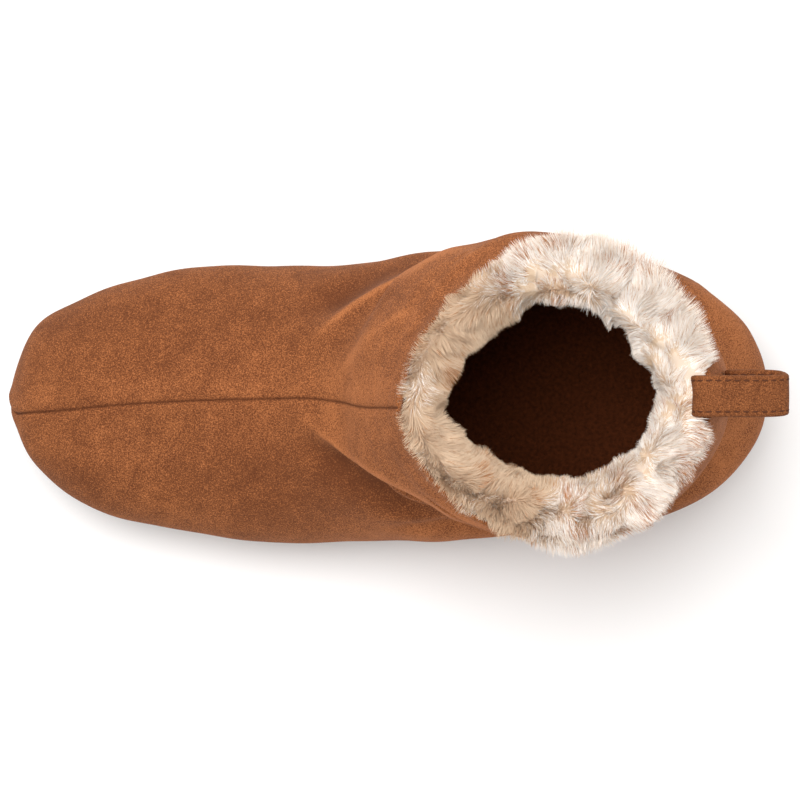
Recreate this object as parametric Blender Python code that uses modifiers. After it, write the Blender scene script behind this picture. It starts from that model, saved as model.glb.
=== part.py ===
"""A pull-on bootie slipper for the left foot: rubber outsole, foam insole, hollow suede upper,
deep fur cuff and a pull loop. Metres, +Z up, toe towards -X, inner (big toe) side towards +Y.
The origin is on the floor under the middle of the heel."""

import math

import bmesh
import bpy
import numpy as np
from mathutils import Vector

# Driving sizes, in metres
LENGTH = 0.2648  # toe tip to the back of the heel
BALL_WIDTH = 0.096  # across the ball of the upper
INSTEP_HEIGHT = 0.084  # floor to the bend in front of the ankle
COLLAR_HEIGHT = 0.130  # floor to the middle of the collar's edge
COLLAR_WIDTH = 0.100  # across the collar
HEEL_BACK = 0.040  # origin to the back of the heel
WALL = 0.0028  # suede, backing and lining together
GAP = 0.0003  # between pieces that touch
SOLE_THICKNESS = 0.0085
TOE_SPRING = 0.006  # lift of the sole at the toe
ARCH_LIFT = 0.0016  # lift of the tread under the arch
SOLE_LEDGE = 0.0012  # the outsole's edge past the line where the upper lands
INSOLE_THICKNESS = 0.0065
ANKLE_PINCH = 0.0055  # depth of the slouch fold round the ankle
SEAM_DEPTH = 0.0005  # the panels' turned edges along the centre and back seams
SEAM_HALF = 0.0016
FUR_THICKNESS = 0.0155
FUR_DROP = 0.042  # how far the fur reaches down inside the shaft
FUR_RISE = 0.0062  # how far it stands over the collar's edge
LOCK_LENGTH = 0.0052
LOOP_WIDTH = 0.0132
LOOP_REACH = 0.0236  # how far the loop stands out behind the collar
LOOP_RISE = 0.0060  # how far it stands over the collar's edge
LOOP_DROP = 0.0120  # between the loop's two legs
LOOP_SEWN = 0.0090  # how far its inner leg goes down behind the fur
LOOP_INSET = 0.0056  # how far in from the collar's edge it comes up through the fur
LOOP_SKEW = 0.0020  # how far its lower leg is off to the inner side
LOOP_HUG = 1.7  # how closely its inner leg bends round with the wall, where 1 is a round shaft
STRAP = 0.0022  # thickness of the doubled strap
TREAD_DEPTH = 0.0014
TREAD_WIDTH = 0.0030
TREAD_PITCH = 0.0110

COLUMNS = ("keel_x", "keel_z", "ridge_x", "ridge_z", "inner", "outer", "keel_y", "ridge_y",
           "inner_at", "outer_at", "keel_n", "ridge_n")
# Sections from the toe to the instep. A section runs from its keel point, under the foot or behind the
# heel, to its ridge point, on the centre seam. x is a share of LENGTH from the toe, z of INSTEP_HEIGHT,
# and the half widths and the sideways places of keel and ridge are shares of BALL_WIDTH. inner_at and
# outer_at are how far up the section is widest on each side, and n is 2 for an ellipse, more for a
# squarer curve and less for a pointed one.
FOOT_SECTIONS = (
    (0.000, 0.286, 0.000, 0.286, 0.000, 0.000, 0.0, 0.0, 0.50, 0.50, 2.3, 2.1),
    (0.010, 0.180, 0.010, 0.385, 0.131, 0.105, 0.0, -0.045, 0.50, 0.50, 2.3, 2.1),
    (0.036, 0.065, 0.036, 0.485, 0.276, 0.240, 0.0, -0.045, 0.50, 0.50, 2.4, 2.1),
    (0.084, -0.012, 0.084, 0.563, 0.364, 0.351, 0.0, -0.036, 0.51, 0.51, 2.5, 2.1),
    (0.156, -0.060, 0.156, 0.619, 0.437, 0.434, 0.0, -0.017, 0.51, 0.51, 2.7, 2.1),
    (0.248, -0.071, 0.248, 0.670, 0.483, 0.487, 0.0, -0.003, 0.51, 0.51, 2.8, 2.0),
    (0.344, -0.071, 0.340, 0.742, 0.489, 0.523, 0.0, 0.003, 0.49, 0.49, 2.8, 1.95),
    (0.443, -0.071, 0.389, 0.838, 0.488, 0.520, 0.0, 0.006, 0.47, 0.46, 2.8, 1.9),
    (0.546, -0.071, 0.422, 0.946, 0.500, 0.510, 0.0, -0.004, 0.48, 0.44, 2.8, 1.95),
)
# Sections from the instep to the collar: z is a share of COLLAR_HEIGHT, and widths are of COLLAR_WIDTH.
SHAFT_SECTIONS = (
    (0.653, -0.046, 0.443, 0.678, 0.510, 0.488, 0.000, -0.012, 0.52, 0.43, 2.8, 2.0),
    (0.756, -0.046, 0.457, 0.738, 0.519, 0.476, 0.010, -0.018, 0.56, 0.44, 2.6, 2.1),
    (0.847, -0.046, 0.468, 0.788, 0.526, 0.462, 0.020, -0.022, 0.62, 0.46, 2.4, 2.2),
    (0.920, -0.034, 0.477, 0.828, 0.526, 0.452, 0.025, -0.024, 0.65, 0.48, 2.20, 2.2),
    (0.968, 0.018, 0.483, 0.860, 0.525, 0.449, 0.029, -0.025, 0.66, 0.49, 2.10, 2.2),
    (0.992, 0.108, 0.488, 0.884, 0.524, 0.450, 0.030, -0.025, 0.66, 0.49, 2.06, 2.15),
    (1.000, 0.231, 0.492, 0.907, 0.523, 0.452, 0.029, -0.025, 0.65, 0.48, 2.05, 2.1),
    (0.993, 0.354, 0.496, 0.927, 0.523, 0.455, 0.026, -0.025, 0.63, 0.47, 2.01, 2.05),
    (0.962, 0.469, 0.500, 0.946, 0.523, 0.458, 0.022, -0.025, 0.61, 0.47, 1.94, 2.0),
    (0.936, 0.585, 0.504, 0.963, 0.523, 0.461, 0.019, -0.025, 0.60, 0.46, 1.88, 1.95),
    (0.926, 0.708, 0.507, 0.983, 0.523, 0.460, 0.016, -0.025, 0.58, 0.45, 1.85, 1.85),
    (0.913, 0.838, 0.511, 1.003, 0.522, 0.463, 0.014, -0.025, 0.57, 0.45, 1.80, 1.8),
    (0.892, 0.977, 0.514, 1.027, 0.521, 0.464, 0.012, -0.025, 0.57, 0.45, 1.78, 1.75),
)
INNER, OUTER, KEEL_N, RIDGE_N = (COLUMNS.index(name) for name in ("inner", "outer", "keel_n", "ridge_n"))
SIDE_COLUMNS = 16  # columns of the upper's mesh between the ridge and the keel, on each side
ROWS_BETWEEN = 2  # mesh rows to each section of the tables
SOLE_STEPS = 30  # mesh columns along each side of the sole
FUR_COLUMNS = 44
FRONT_ANGLE = 0.7  # how far to each side of the seam the fur is thinner, in radians
THINNER_SHARE = 0.2  # and by what share there
TREAD_SHARES = ((0.10, 0.40), (0.765, 0.94))  # where the tread is grooved, as shares of LENGTH
PINCH_SHARES = (0.62, 0.515)  # height of the fold in front and behind, as shares of COLLAR_HEIGHT
PINCH_SPREAD = 0.0105
SHAFT_AXIS_X = 0.71  # the middle of the shaft, as a share of LENGTH from the toe
# Round the cuff's thickness: depth as a share of FUR_THICKNESS, and drop below the collar's edge as a
# share of FUR_DROP, or of FUR_RISE where it is above the edge
FUR_PROFILE = (
    (0.02, -0.15),
    (-0.12, -0.50),
    (0.10, -0.88),
    (0.42, -1.00),
    (0.76, -0.70),
    (1.00, 0.04),
    (1.10, 0.22),
    (1.10, 0.42),
    (1.02, 0.62),
    (0.82, 0.82),
    (0.48, 0.96),
)
# Drops of the cuff's plain side, against the wall, as shares of FUR_DROP
FUR_BACK_SHARES = (0.98, 0.86, 0.74, 0.62, 0.50, 0.38, 0.26, 0.12)


def clear_scene():
    for old in list(bpy.data.objects):
        bpy.data.objects.remove(old, do_unlink=True)


def collection(name):
    made = bpy.data.collections.new(name)
    bpy.context.scene.collection.children.link(made)
    return made


def finish(name, colour, roughness):
    material = bpy.data.materials.new(name)
    material.use_nodes = True
    shader = material.node_tree.nodes["Principled BSDF"]
    shader.inputs["Base Color"].default_value = (*colour, 1.0)
    shader.inputs["Roughness"].default_value = roughness
    shader.inputs["Metallic"].default_value = 0.0
    return material


def add_object(name, mesh, group, material=None):
    made = bpy.data.objects.new(name, mesh)
    group.objects.link(made)
    if material is not None:
        mesh.materials.append(material)
    return made


def mesh_from(name, points, faces):
    """A mesh whose doubled points are merged and whose faces point outwards."""
    mesh = bpy.data.meshes.new(name)
    shape = bmesh.new()
    corners = [shape.verts.new(p) for p in points]
    for face in faces:
        shape.faces.new([corners[i] for i in face])
    bmesh.ops.remove_doubles(shape, verts=shape.verts, dist=1e-6)
    bmesh.ops.recalc_face_normals(shape, faces=shape.faces)
    shape.to_mesh(mesh)
    shape.free()
    return mesh


def smooth_step(low, high, value):
    share = np.clip((value - low) / (high - low), 0.0, 1.0)
    return share * share * (3 - 2 * share)


def section_rows():
    """The tables in metres, with a row ahead of the toe that mirrors the second one, so that the toe
    ends round."""
    rows = []
    for table, height, width in ((FOOT_SECTIONS, INSTEP_HEIGHT, BALL_WIDTH),
                                 (SHAFT_SECTIONS, COLLAR_HEIGHT, COLLAR_WIDTH)):
        scale = np.array([LENGTH, height] * 2 + [width] * 4 + [1] * 4)
        rows += [np.array(row) * scale for row in table]
    ahead = rows[1][[0, 3, 2, 1, OUTER, INNER, 7, 6, 8, 9, 10, 11]]
    ahead[[INNER, OUTER]] *= -1
    beyond = 2 * rows[-1] - rows[-2]
    return np.array([ahead, *rows, beyond])


ROWS = section_rows()
LAST = len(ROWS) - 3.0  # the collar's station, where 0 is the toe


def section_at(station):
    """The section at a station, on a curve through the rows of the tables."""
    i = int(min(max(math.floor(station), 0), LAST - 1))
    u = station - i
    a, b, c, d = ROWS[i : i + 4]
    bend, twist = 2 * a - 5 * b + 4 * c - d, 3 * b - 3 * c + d - a
    return 0.5 * (2 * b + (c - a) * u + bend * u * u + twist * u**3)


def smooth_point(station, angle):
    """A point of the upper's outside before its fold: angle 0 is the centre seam, pi the keel, and
    positive angles are on the inner side."""
    row, angle = section_at(station), math.remainder(angle, 2 * math.pi)
    keel_x, keel_z, ridge_x, ridge_z, inner, outer, keel_y, ridge_y, inner_at, outer_at = row[:10]
    up = abs(angle) < math.pi / 2
    wide_at = inner_at if angle >= 0 else outer_at
    power = 2 / row[RIDGE_N if up else KEEL_N]
    across = abs(math.sin(angle)) ** power
    along = abs(math.cos(angle)) ** power
    rise = wide_at + (1 - wide_at) * along if up else wide_at * (1 - along)
    half = inner if angle >= 0 else -outer
    x = HEEL_BACK - LENGTH + keel_x + (ridge_x - keel_x) * rise
    y = half * across + (ridge_y if up else keel_y) * along
    return np.array([x, y, keel_z + (ridge_z - keel_z) * rise])


def upper_point(station, angle):
    """The same with the slouch fold: the wall is drawn in towards the shaft's middle at the ankle."""
    point = smooth_point(station, angle)
    share = (point[0] - HEEL_BACK) / LENGTH + 1
    fold_z = COLLAR_HEIGHT * np.interp(share, (0.38, 1.0), PINCH_SHARES)
    depth = ANKLE_PINCH * math.exp(-(((point[2] - fold_z) / PINCH_SPREAD) ** 2))
    depth *= 0.25 + 0.75 * smooth_step(0.40, 0.50, share)
    inward = np.array([HEEL_BACK - LENGTH + SHAFT_AXIS_X * LENGTH - point[0], -point[1], 0.0])
    return point + inward / max(np.linalg.norm(inward), 1e-6) * depth


def upper_normal(station, angle):
    """The outward direction at a point of the upper."""
    step = 0.01
    low, high = max(station - step, 0.0), min(station + step, LAST)
    along = upper_point(high, angle) - upper_point(low, angle)
    round_it = upper_point(station, angle + step) - upper_point(station, angle - step)
    normal = np.cross(along, round_it)
    return normal / np.linalg.norm(normal)


def wall_point(station, angle, depth):
    """A point at a depth in from the upper's outside."""
    if station <= 0:
        return upper_point(0, angle) + (depth, 0, 0)
    return upper_point(station, angle) - upper_normal(station, angle) * depth


def column_angles(station):
    """Angles round a section, from the keel round the outer side, the seam and the inner side to the
    keel, with two more beside each seam."""
    step = math.pi / SIDE_COLUMNS
    row = section_at(station)
    share = min(SEAM_HALF / max(min(row[INNER], row[OUTER]), SEAM_HALF), 1.0)
    beside = min(math.asin(share ** (row[RIDGE_N] / 2)), step / 2)
    side = [beside] + [step * k for k in range(1, SIDE_COLUMNS)] + [math.pi - step * 0.45]
    return [-a for a in reversed(side)] + [0.0] + side + [math.pi]


def wall_solid(name, outer, inner, rise, groove):
    """The closed wall between two depths, from the toe to the collar, raised at the collar and with a
    groove along the centre seam and the back seam."""
    stations = [0.0, 0.2] + [k / ROWS_BETWEEN for k in range(1, int(LAST * ROWS_BETWEEN) + 1)]
    up = {a: upper_point(LAST, a) - upper_point(LAST - 0.25, a) for a in column_angles(LAST)}
    rings = []
    for depth in (outer, inner):
        side = []
        for station in stations:
            ring = []
            for angle in column_angles(station):
                seam = groove if station and depth == outer and angle in (0.0, math.pi) else 0.0
                point = wall_point(station, angle, depth + seam)
                if station == LAST and rise:
                    point = point + up[angle] / np.linalg.norm(up[angle]) * rise
                ring.append(point)
            side.append(ring)
        rings += side if depth == outer else side[::-1]
    points, faces = loft(rings)
    return mesh_from(name, points, faces)


def loft(rings, closed=True):
    """Faces between neighbouring rings of as many points each."""
    count = len(rings[0])
    points = [p for ring in rings for p in ring]
    faces = []
    for r in range(len(rings) - 1):
        for k in range(count if closed else count - 1):
            n = (k + 1) % count
            faces.append((r * count + k, r * count + n, (r + 1) * count + n, (r + 1) * count + k))
    return points, faces


def toe_lift(x):
    """How far the sole's toe curves up at a place along it."""
    start = HEEL_BACK - LENGTH * 0.70
    return TOE_SPRING * max(0.0, (start - x) / (LENGTH * 0.30)) ** 2


def sole_top(x):
    return SOLE_THICKNESS + toe_lift(x)


def sole_bottom(x):
    share = (x - HEEL_BACK) / LENGTH + 1
    arch = smooth_step(0.40, 0.52, share) * (1 - smooth_step(0.62, 0.72, share))
    return toe_lift(x) + ARCH_LIFT * arch


def landing_point(station, side):
    """Where a section of the upper comes down on the sole, on one side, or None where it stays above."""
    low, high = math.pi / 2, math.pi

    def above(angle):
        point = smooth_point(station, side * angle)
        return point[2] - sole_top(point[0])

    if above(low) <= 0 or above(high) >= 0:
        return None
    for _ in range(40):
        middle = (low + high) / 2
        low, high = (middle, high) if above(middle) > 0 else (low, middle)
    return smooth_point(station, side * low)


def end_station(low, high):
    """The station between two where the keel itself meets the top of the sole."""
    for _ in range(40):
        middle = (low + high) / 2
        keel = smooth_point(middle, math.pi)
        inside = keel[2] < sole_top(keel[0])
        low_inside = smooth_point(low, math.pi)[2] < sole_top(smooth_point(low, math.pi)[0])
        low, high = (middle, high) if inside == low_inside else (low, middle)
    return (low + high) / 2


def landing_line():
    """The line on the sole where the upper lands: the outer side from the toe to the heel, then the
    inner side back."""
    first, last = end_station(0.3, 4.0), end_station(10.0, 15.0)
    ease = [0.5 - 0.5 * math.cos(math.pi * k / SOLE_STEPS) for k in range(SOLE_STEPS + 1)]
    stations = [first + (last - first) * e for e in ease]
    toe, heel = smooth_point(first, math.pi), smooth_point(last, math.pi)
    outer = [landing_point(s, -1) for s in stations[1:-1]]
    inner = [landing_point(s, 1) for s in stations[1:-1]]
    line = [toe] + outer + [heel] + inner[::-1]
    return np.array([p[:2] for p in line])


def pushed(line, distance):
    """A closed line moved outwards by a distance."""
    ahead, behind = np.roll(line, -1, axis=0), np.roll(line, 1, axis=0)
    along = ahead - behind
    side = np.stack([-along[:, 1], along[:, 0]], axis=1)
    side /= np.linalg.norm(side, axis=1)[:, None]
    area = np.sum(line[:, 0] * ahead[:, 1] - line[:, 1] * ahead[:, 0])
    return line + side * (-distance if area > 0 else distance)


def ladder_caps(count, start):
    """Faces across a ring from side to side, so that a curved sole stays closed."""
    faces, half = [], count // 2
    for k in range(half):
        a, b = k, k + 1
        c, d = (count - k) % count, (count - k - 1) % count
        face = [start + i for i in dict.fromkeys((a, b, d, c))]
        faces.append(tuple(face))
    return faces


def layered_solid(name, layers):
    """A closed solid from rings of as many points each, capped at both ends."""
    points, faces = loft(layers)
    count = len(layers[0])
    faces += ladder_caps(count, 0)
    faces += ladder_caps(count, (len(layers) - 1) * count)
    return mesh_from(name, points, faces)


def cut(target, cutter):
    boolean = target.modifiers.new("cut_" + cutter.name, "BOOLEAN")
    boolean.operation = "DIFFERENCE"
    boolean.object = cutter
    cutter.hide_render = True
    cutter.display_type = "WIRE"


def build_upper(group, cutters, suede):
    """The hollow upper: its wall from the toe to the collar, cut away along the top of the sole."""
    upper = add_object("upper", wall_solid("upper", 0.0, WALL, 0.0, SEAM_DEPTH), group, suede)
    length_steps, reach, below = 44, BALL_WIDTH, SOLE_THICKNESS * 4
    xs = np.linspace(HEEL_BACK - LENGTH * 1.05, HEEL_BACK + LENGTH * 0.05, length_steps)
    rings = []
    for x in xs:
        top = sole_top(x) + GAP
        rings.append([(x, -reach, -below), (x, reach, -below), (x, reach, top), (x, -reach, top)])
    points, faces = loft(rings)
    faces += [(0, 1, 2, 3), tuple((length_steps - 1) * 4 + k for k in range(4))]
    landing = add_object("landing_cutter", mesh_from("landing_cutter", points, faces), cutters)
    cut(upper, landing)
    return upper


def build_outsole(group, cutters, rubber):
    """The outsole: its edge has a rounded foot and a groove round its side, and cross grooves are cut in
    its tread."""
    line = pushed(landing_line(), SOLE_LEDGE)
    layers = []
    for share, inset in ((0.0, 1.83), (0.16, 0.33), (0.50, 0.0), (0.54, 0.58), (0.64, 0.58), (0.68, 0.0),
                         (1.0, 0.33)):
        ring = pushed(line, -inset * SOLE_LEDGE)
        layers.append([(x, y, sole_bottom(x) + share * (sole_top(x) - sole_bottom(x))) for x, y in ring])
    outsole = add_object("outsole", layered_solid("outsole", layers), group, rubber)

    grooves = bmesh.new()
    for first, last in TREAD_SHARES:
        count = int((last - first) * LENGTH / TREAD_PITCH)
        for k in range(count):
            x = HEEL_BACK - LENGTH * (1 - first) + (k + 0.5) * TREAD_PITCH
            bar = bmesh.ops.create_cube(grooves, size=1.0)["verts"]
            height = sole_bottom(x) + TREAD_DEPTH + SOLE_THICKNESS * 2
            bmesh.ops.scale(grooves, verts=bar, vec=(TREAD_WIDTH, BALL_WIDTH * 2, height))
            bmesh.ops.translate(grooves, verts=bar, vec=(x, 0, sole_bottom(x) + TREAD_DEPTH - height / 2))
    mesh = bpy.data.meshes.new("tread_cutter")
    grooves.to_mesh(mesh)
    grooves.free()
    cut(outsole, add_object("tread_cutter", mesh, cutters))
    return outsole


def build_insole(group, wall, cloth):
    """The footbed, which lies on the outsole inside the upper."""
    line = pushed(landing_line(), -(WALL + 2.5 * GAP))
    layers = []
    for share, inset in ((0.0, 0.1), (0.15, 0.0), (0.75, 0.0), (1.0, 0.25)):
        ring = pushed(line, -inset * INSOLE_THICKNESS)
        layers.append([(x, y, sole_top(x) + GAP + share * INSOLE_THICKNESS) for x, y in ring])
    insole = add_object("insole", layered_solid("insole", layers), group, cloth)
    cut(insole, wall)
    return insole


def column_down(angle):
    """The distance below the collar, and the station, at points down one column of the upper."""
    stations = np.linspace(LAST, LAST * 0.42, 60)
    line = np.array([upper_point(s, angle) for s in stations])
    down = np.concatenate([[0.0], np.cumsum(np.linalg.norm(np.diff(line, axis=0), axis=1))])
    return down, stations


def shaft_point(angle, column, drop, depth):
    """A point of the shaft at a drop below the collar's edge and a depth in from its outside."""
    station = float(np.interp(drop, *column))
    point = upper_point(station, angle) - upper_normal(station, angle) * depth
    if drop < 0:
        up = upper_point(LAST, angle) - upper_point(LAST - 0.25, angle)
        up = 0.4 * up / np.linalg.norm(up) + np.array([0, 0, 0.6])
        point = point - up * drop
    return point


def build_fur(group, cutters, wall, fur):
    """The fur cuff: a thick ring inside the shaft that rolls over the collar's edge, with a lock on each
    face of its furry side, and a slot at the back where the pull loop is sewn in."""
    wall_side = WALL - 2 * GAP
    rings = []
    for k in range(FUR_COLUMNS):
        angle = 2 * math.pi * (k + 0.5) / FUR_COLUMNS - math.pi
        column = column_down(angle)
        front = math.exp(-((angle / FRONT_ANGLE) ** 2))
        ring = []
        for depth, drop in FUR_PROFILE:
            height = drop * (FUR_RISE if drop < 0 else FUR_DROP)
            inside = depth * FUR_THICKNESS * (1 - front * (THINNER_SHARE if depth > 0 else 1.0))
            ring.append(shaft_point(angle, column, height, inside + (WALL if depth > 0.05 else 0)))
        ring += [shaft_point(angle, column, drop * FUR_DROP, wall_side) for drop in FUR_BACK_SHARES]
        ring.append(shaft_point(angle, column, -0.15 * FUR_RISE, wall_side))
        rings.append(ring)
    points, faces = loft(rings + [rings[0]])
    mesh = mesh_from("fur_cuff", points, faces)
    raise_locks(mesh, [k for k in range(len(mesh.polygons)) if 0 < k % len(ring) < len(FUR_PROFILE) - 1])
    cuff = add_object("fur_cuff", mesh, group, fur)

    column = column_down(math.pi)
    deep = WALL + STRAP + 4 * GAP + LOOP_HUG * (LOOP_WIDTH / 2 + LOOP_SKEW) ** 2 / COLLAR_WIDTH
    low = shaft_point(math.pi, column, LOOP_SEWN + GAP, deep)
    bend = shaft_point(math.pi, column, LOOP_SEWN * 0.45, deep + STRAP * 0.35)
    edge = upper_point(LAST, math.pi) - (LOOP_INSET + STRAP + 2 * GAP, 0, 0)
    high, far = edge[2] + LOOP_REACH, edge[0] + LOOP_REACH * 2
    profile = [(low[0] + LOOP_REACH, low[2]), (low[0], low[2]), (bend[0], bend[2]),
               (edge[0], edge[2]), (edge[0], high), (far, high)]
    centre = upper_point(LAST, math.pi)[1]
    half = LOOP_WIDTH / 2 + 2 * GAP + LOOP_SKEW
    points, faces = loft([[(x, centre + side * half, z) for x, z in profile] for side in (-1.0, 1.0)])
    count = len(profile)
    faces += [tuple(range(count)), tuple(range(count, 2 * count))]
    cut(cuff, wall)
    cut(cuff, add_object("loop_cutter", mesh_from("loop_cutter", points, faces), cutters))
    return cuff


def raise_locks(mesh, furry):
    """Draws the middle of each furry face out into a lock, and lays it over."""
    shape = bmesh.new()
    shape.from_mesh(mesh)
    shape.faces.ensure_lookup_table()
    middle = Vector((HEEL_BACK - LENGTH * (1 - SHAFT_AXIS_X), 0.0, 0.0))
    random = np.random.default_rng(7)
    poked = bmesh.ops.poke(shape, faces=[shape.faces[k] for k in furry])
    for tip in poked["verts"]:
        normal = sum((f.normal for f in tip.link_faces), Vector()) / len(tip.link_faces)
        spills = normal.to_2d().dot((tip.co - middle).to_2d().normalized()) > 0.2
        length = LOCK_LENGTH * random.uniform(0.55, 1.0) * (0.6 if spills else 1.0)
        tip.co += (normal + Vector((0, 0, 0.9 if spills else 0.35))).normalized() * length
    bmesh.ops.recalc_face_normals(shape, faces=shape.faces)
    shape.to_mesh(mesh)
    shape.free()


def loop_path():
    """The middle line of the pull loop's strap, in the plane of the back seam: up between wall and fur,
    over the collar's edge, out, back and down the outside of the shaft."""
    column = column_down(math.pi)

    def at(drop, depth):
        return shaft_point(math.pi, column, drop, depth)[[0, 2]]

    half = STRAP / 2
    rim = at(0.0, 0.0)
    return np.array([
        at(LOOP_SEWN, WALL + GAP + half),
        at(LOOP_SEWN * 0.5, WALL + GAP + half * 1.3),
        rim + (-LOOP_INSET, -LOOP_RISE * 0.12),
        rim + (-LOOP_INSET, LOOP_RISE * 0.53),
        rim + (-LOOP_INSET * 0.55, LOOP_RISE * 0.96),
        rim + (LOOP_REACH * 0.02, LOOP_RISE),
        rim + (LOOP_REACH * 0.40, LOOP_RISE * 0.87),
        rim + (LOOP_REACH * 0.70, LOOP_RISE * 0.67),
        rim + (LOOP_REACH * 0.93, LOOP_RISE * 0.23),
        rim + (LOOP_REACH - half, -LOOP_RISE * 0.43),
        rim + (LOOP_REACH * 0.90, LOOP_RISE * 0.50 - LOOP_DROP * 0.8),
        rim + (LOOP_REACH * 0.66, LOOP_RISE * 0.47 - LOOP_DROP),
        rim + (LOOP_REACH * 0.42, LOOP_RISE * 0.08 - LOOP_DROP),
        at(LOOP_DROP * 1.42, -GAP - half * 1.5),
        at(LOOP_DROP * 1.80, -GAP * 1.5 - half),
        at(LOOP_DROP * 2.30, -GAP * 1.5 - half),
    ])


def build_loop(group, suede):
    """The pull loop: a ribbon along its path with the thickness of the doubled strap."""
    path = loop_path()
    curve = []
    for i in range(len(path) - 1):
        a, b, c, d = (path[min(max(j, 0), len(path) - 1)] for j in (i - 1, i, i + 1, i + 2))
        for u in (0.0, 0.5):
            curve.append(0.5 * (2 * b + (c - a) * u + (2 * a - 5 * b + 4 * c - d) * u * u
                                + (3 * b - 3 * c + d - a) * u**3))
    curve.append(path[-1])
    centre = upper_point(LAST, math.pi)[1]
    rings = []
    for k, (x, z) in enumerate(curve):
        share = k / (len(curve) - 1)
        shift = LOOP_SKEW * smooth_step(0.45, 0.75, share)
        hug = LOOP_HUG * (1 - smooth_step(0.14, 0.30, share)) + 0.95 * smooth_step(0.72, 0.86, share)
        ring = []
        for side in (-0.5, -0.25, 0.0, 0.25, 0.5):
            across = side * LOOP_WIDTH
            ring.append((x - hug * (across + shift) ** 2 / COLLAR_WIDTH, centre + shift + across, z))
        rings.append(ring)
    points, faces = loft(rings, closed=False)
    loop = add_object("pull_loop", mesh_from("pull_loop", points, faces), group, suede)
    strap = loop.modifiers.new("strap", "SOLIDIFY")
    strap.thickness = STRAP
    strap.offset = 0.0
    strap.use_even_offset = True
    return loop


def shade(objects):
    for obj in objects:
        obj.data.shade_smooth()
        obj.data.set_sharp_from_angle(angle=math.radians(40))


def main():
    clear_scene()
    parts, cutters = collection("bootie_slipper"), collection("cutters")
    suede = finish("suede_tan", (0.36, 0.13, 0.055), 0.9)
    rubber = finish("rubber_brown", (0.10, 0.045, 0.022), 0.7)
    cloth = finish("cloth_brown", (0.09, 0.035, 0.014), 0.95)
    fur = finish("fur_cream", (0.80, 0.72, 0.64), 0.95)
    wall = add_object("wall_cutter", wall_solid("wall_cutter", -GAP, WALL + GAP, GAP, 0.0), cutters)
    shade([
        build_outsole(parts, cutters, rubber),
        build_insole(parts, wall, cloth),
        build_upper(parts, cutters, suede),
        build_fur(parts, cutters, wall, fur),
        build_loop(parts, suede),
    ])


main()
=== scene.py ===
# Looks of the bootie slipper: suede panels, deep fur collar, stitched pull loop, dark plush inside.
# Metres, +Z up, toe towards -X, inner side of the left foot towards +Y. The photo looks straight down.

import math

import bmesh
import bpy
import numpy as np
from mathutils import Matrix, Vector


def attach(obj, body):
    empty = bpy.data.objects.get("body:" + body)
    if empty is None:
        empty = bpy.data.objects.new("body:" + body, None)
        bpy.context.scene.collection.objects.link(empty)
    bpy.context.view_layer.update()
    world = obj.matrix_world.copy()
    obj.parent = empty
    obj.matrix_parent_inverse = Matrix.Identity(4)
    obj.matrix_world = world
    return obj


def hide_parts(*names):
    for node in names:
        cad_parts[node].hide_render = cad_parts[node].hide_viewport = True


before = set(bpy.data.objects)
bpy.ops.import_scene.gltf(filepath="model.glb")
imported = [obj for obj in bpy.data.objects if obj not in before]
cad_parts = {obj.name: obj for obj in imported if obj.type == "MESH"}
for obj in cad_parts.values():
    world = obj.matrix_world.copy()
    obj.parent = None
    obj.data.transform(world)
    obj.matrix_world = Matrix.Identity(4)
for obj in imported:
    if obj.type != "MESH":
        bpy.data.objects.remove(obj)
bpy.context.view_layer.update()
print("frame loaded")


# shape of the slipper

form = {
    "length": 0.2648,
    "ballWidth": 0.096,
    "instepHeight": 0.084,
    "collarHeight": 0.130,
    "collarWidth": 0.100,
    "heelBack": 0.040,  # origin to the back of the heel
    "wall": 0.0028,
    "gap": 0.0003,
    "soleThickness": 0.0085,
    "toeSpring": 0.006,
    "pinch": 0.0055,  # depth of the slouch fold round the ankle
    "pinchSpread": 0.0105,
    "pinchAt": (0.62, 0.515),  # its height in front and behind, as shares of the collar's height
    "shaftMiddle": 0.71,  # middle of the shaft, as a share of the length from the toe
}

# toe to instep: keelX, keelZ, ridgeX, ridgeZ, inner, outer, keelY, ridgeY, innerAt, outerAt, keelN, ridgeN
footRows = (
    (0.000, 0.286, 0.000, 0.286, 0.000, 0.000, 0.0, 0.0, 0.50, 0.50, 2.3, 2.1),
    (0.010, 0.180, 0.010, 0.385, 0.131, 0.105, 0.0, -0.045, 0.50, 0.50, 2.3, 2.1),
    (0.036, 0.065, 0.036, 0.485, 0.276, 0.240, 0.0, -0.045, 0.50, 0.50, 2.4, 2.1),
    (0.084, -0.012, 0.084, 0.563, 0.364, 0.351, 0.0, -0.036, 0.51, 0.51, 2.5, 2.1),
    (0.156, -0.060, 0.156, 0.619, 0.437, 0.434, 0.0, -0.017, 0.51, 0.51, 2.7, 2.1),
    (0.248, -0.071, 0.248, 0.670, 0.483, 0.487, 0.0, -0.003, 0.51, 0.51, 2.8, 2.0),
    (0.344, -0.071, 0.340, 0.742, 0.489, 0.523, 0.0, 0.003, 0.49, 0.49, 2.8, 1.95),
    (0.443, -0.071, 0.389, 0.838, 0.488, 0.520, 0.0, 0.006, 0.47, 0.46, 2.8, 1.9),
    (0.546, -0.071, 0.422, 0.946, 0.500, 0.510, 0.0, -0.004, 0.48, 0.44, 2.8, 1.95),
)
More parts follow.
